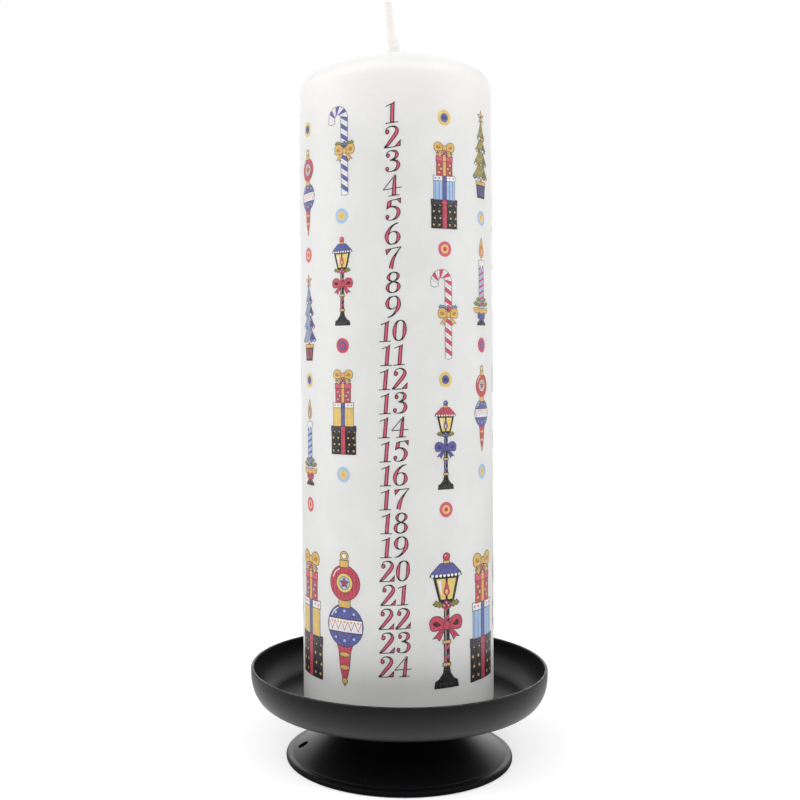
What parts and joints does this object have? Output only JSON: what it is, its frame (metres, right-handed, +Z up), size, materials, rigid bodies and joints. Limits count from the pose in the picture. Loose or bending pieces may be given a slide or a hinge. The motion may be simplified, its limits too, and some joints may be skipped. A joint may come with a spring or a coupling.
{
  "type": "calendar candle",
  "caption": "White pillar candle printed with a column of day numbers and small festive motifs, standing loose on a black footed metal pan.",
  "frame": {"origin": "middle of the ground ring of the foot, on the surface the candle stands on", "axes": "+Z up along the candle, -Y towards the viewer of the number column, +X to that viewer's right"},
  "size_m": [0.101, 0.101, 0.2576],
  "materials": {
    "black_coat": "satin",
    "plated_steel": "satin",
    "inner_wax": "matte",
    "white_wax": "satin",
    "waxed_cotton": "matte",
    "tinned_steel": "satin",
    "number_ink": "satin",
    "motif_ink": "satin"
  },
  "bodies": {
    "holder": {"pan": "black_coat", "foot": "black_coat", "rivet": "plated_steel"},
    "candle": {"candle_core": "inner_wax", "wax_coat": "white_wax", "wick": "waxed_cotton", "wick_tab": "tinned_steel", "day_numbers": "number_ink", "fir_tree_prints": "motif_ink", "lamp_post_prints": "motif_ink", "ornament_prints": "motif_ink", "candy_cane_prints": "motif_ink", "taper_prints": "motif_ink", "parcel_prints": "motif_ink", "dot_prints": "motif_ink"}
  },
  "joints": [
    {"name": "candle_lift", "type": "slide", "parent": "holder", "child": "candle", "axis": [0, 0, 1], "range_m": [0, 0.05]}
  ]
}
